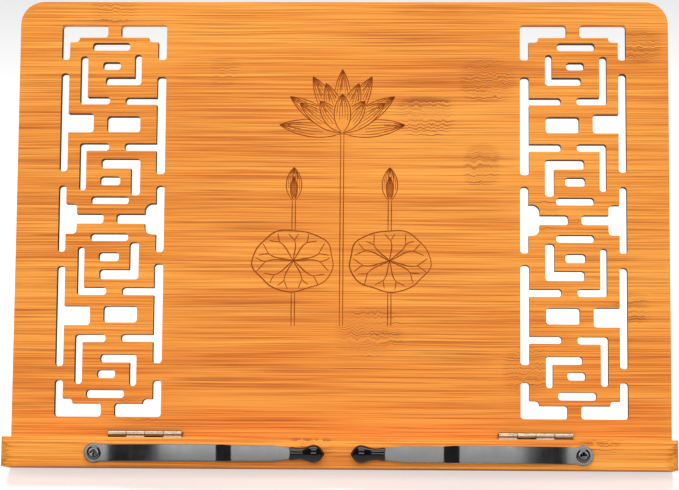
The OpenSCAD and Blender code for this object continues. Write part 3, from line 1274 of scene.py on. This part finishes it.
@dataclass
class ButtHinges:
    """One pair of small plated hinges, left and right.

    Attributes:
        prefix: What their nodes' names start with.
        moving: The body that their second leaves ride on.
        moving_leaf: The second leaf's name.
        ease: Rounding of the leaves' edges.
    """

    prefix: str
    moving: Body
    moving_leaf: str
    ease: float = 0.00012

    def build(self, nickel: bpy.types.Material) -> None:
        """Makes the leaves, pins and screws.

        Args:
            nickel: The plated finish.
        """
        for side in ("left", "right"):
            hinge = f"{self.prefix}_{side}_"
            EasedPart(hinge + "panel_leaf", Body.PANEL, "nickel", self.ease).build(nickel)
            EasedPart(hinge + self.moving_leaf, self.moving, "nickel", self.ease).build(nickel)
            dress(hinge + "pin", nickel)
        dress(f"{self.prefix}_panel_screws", nickel)
        dress(f"{self.prefix}_{self.moving_leaf.split('_')[0]}_screws", nickel)


@dataclass
class PageClip:
    """A sprung clip on the tray's front.

    Attributes:
        side: Its name's first word.
        body: The body that it rides on.
        arm_ease: Rounding of the arm's edges.
        tip_ease: Rounding of the tip's edges.
        screw_ease: Rounding of the screw's edges.
    """

    side: str
    body: Body
    arm_ease: float = 0.0004
    tip_ease: float = 0.0001
    screw_ease: float = 0.00012

    def build(self, steel: bpy.types.Material, gloss: bpy.types.Material) -> None:
        """Makes the arm, tip, screw and washer.

        Args:
            steel: The blacked finish.
            gloss: The moulded finish.
        """
        clip = self.side + "_clip_"
        EasedPart(clip + "arm", self.body, "black_steel", self.arm_ease, 3).build(steel)
        EasedPart(clip + "tip", self.body, "gloss_tip", self.tip_ease).build(gloss)
        EasedPart(clip + "screw", Body.TRAY, "black_steel", self.screw_ease).build(steel)
        dress(clip + "washer", steel)


# ---------------------------------------------------------------- studio


@dataclass
class SoftBox:
    """One soft light.

    Attributes:
        name: Its name.
        at: Where it stands.
        towards: What it points at.
        size: Its width and height.
        power: Its power, in watts.
    """

    name: str
    at: Point3
    towards: Point3
    size: Point
    power: float

    def build(self) -> None:
        """Makes the light."""
        data = bpy.data.lights.new(self.name, "AREA")
        data.shape = "RECTANGLE"
        data.size, data.size_y = self.size
        data.energy = self.power
        lamp = bpy.data.objects.new(self.name, data)
        lamp.location = self.at
        aim = Vector(self.towards) - Vector(self.at)
        lamp.rotation_euler = aim.to_track_quat("-Z", "Y").to_euler()
        bpy.context.scene.collection.objects.link(lamp)


@dataclass
class Studio:
    """A pale floor, soft lights and the camera.

    Attributes:
        eye: The camera's place.
        down: How far it looks down, in degrees.
        aside: How far it turns to the right, in degrees.
        roll: How far it rolls, in degrees.
        lens: Its focal length, in millimetres.
        sensor: Its sensor's width, in millimetres.
        lights: The soft lights.
        floor_size: Half the floor's width, in metres.
        floor_glow: The floor's own light, and how much more of it the camera sees.
        surround: Strength of the even light from all sides.
    """

    eye: Point3 = (0.0365, -1.1321, 0.379)
    down: float = 12.989
    aside: float = -1.839
    roll: float = -0.205
    lens: float = 122.51
    sensor: float = 36.0
    lights: tuple[SoftBox, ...] = (
        SoftBox("front", (0.0, -1.85, 1.03), (0.0, 0.0, 0.08), (2.1, 0.55), 19.5),
        SoftBox("top", (0.0, -0.5, 1.75), (0.0, 0.0, 0.1), (1.6, 0.8), 16.0),
        SoftBox("back", (0.0, 0.45, 1.7), (0.0, 0.15, 0.0), (1.8, 0.6), 17.0),
    )
    floor_size: float = 8.0
    floor_glow: Point = (0.12, 0.5)
    surround: float = 0.07

    def build(self) -> None:
        """Makes the whole studio."""
        self._floor()
        self._sky()
        for light in self.lights:
            light.build()
        self._camera()

    def _floor(self) -> None:
        """A wide pale floor under the stand."""
        bm = bmesh.new()
        bmesh.ops.create_grid(bm, x_segments=1, y_segments=1, size=self.floor_size)
        g = Graph("pale_floor")
        speck = g.noise(g.coordinates(), Speckle((40.0, 40.0, 40.0)))
        white = g.mix(g.span(speck, 0.3, 0.7), grey(0.73), grey(0.7))
        g.feed(g.shader.inputs["Base Color"], white)
        g.shader.inputs["Roughness"].default_value = 0.8
        g.shader.inputs["Emission Color"].default_value = grey(1.0)
        seen = g.node("LightPath").outputs["Is Camera Ray"]
        glow, shown = self.floor_glow
        g.feed(g.shader.inputs["Emission Strength"], g.maths("MULTIPLY_ADD", seen, shown, glow))
        object_from("floor", bm, g.material)

    def _sky(self) -> None:
        """An even pale surround."""
        world = bpy.data.worlds.new("surround")
        world.use_nodes = True
        back = world.node_tree.nodes["Background"]
        back.inputs["Color"].default_value = grey(1.0)
        back.inputs["Strength"].default_value = self.surround
        bpy.context.scene.world = world

    def _camera(self) -> None:
        """The camera, at the reader's side of the stand."""
        data = bpy.data.cameras.new("camera")
        data.lens = self.lens
        data.sensor_width = self.sensor
        camera = bpy.data.objects.new("camera", data)
        look = Matrix.Rotation(math.radians(-self.aside), 4, "Z")
        look @= Matrix.Rotation(math.radians(90.0 - self.down), 4, "X")
        look @= Matrix.Rotation(math.radians(self.roll), 4, "Z")
        camera.matrix_world = Matrix.Translation(self.eye) @ look
        bpy.context.scene.collection.objects.link(camera)
        bpy.context.scene.camera = camera
        bpy.context.scene.view_settings.view_transform = "Standard"


# ---------------------------------------------------------------- the stand


def main() -> None:
    """Builds the studio and every piece of the stand."""
    logging.basicConfig(level=logging.INFO, format="%(name)s: %(message)s")
    Studio().build()
    nickel = Plated().build()
    steel = BlackSteel().build()
    gloss = Moulded().build()
    FretworkBoard().build(Scorch().build())
    LedgeTray().build()
    RearLeg().build()
    ButtHinges("tray_hinge", Body.TRAY, "tray_leaf").build(nickel)
    ButtHinges("leg_hinge", Body.LEG, "leg_leaf").build(nickel)
    PageClip("left", Body.LEFT_CLIP).build(steel, gloss)
    PageClip("right", Body.RIGHT_CLIP).build(steel, gloss)


if __name__ == "__main__":
    main()
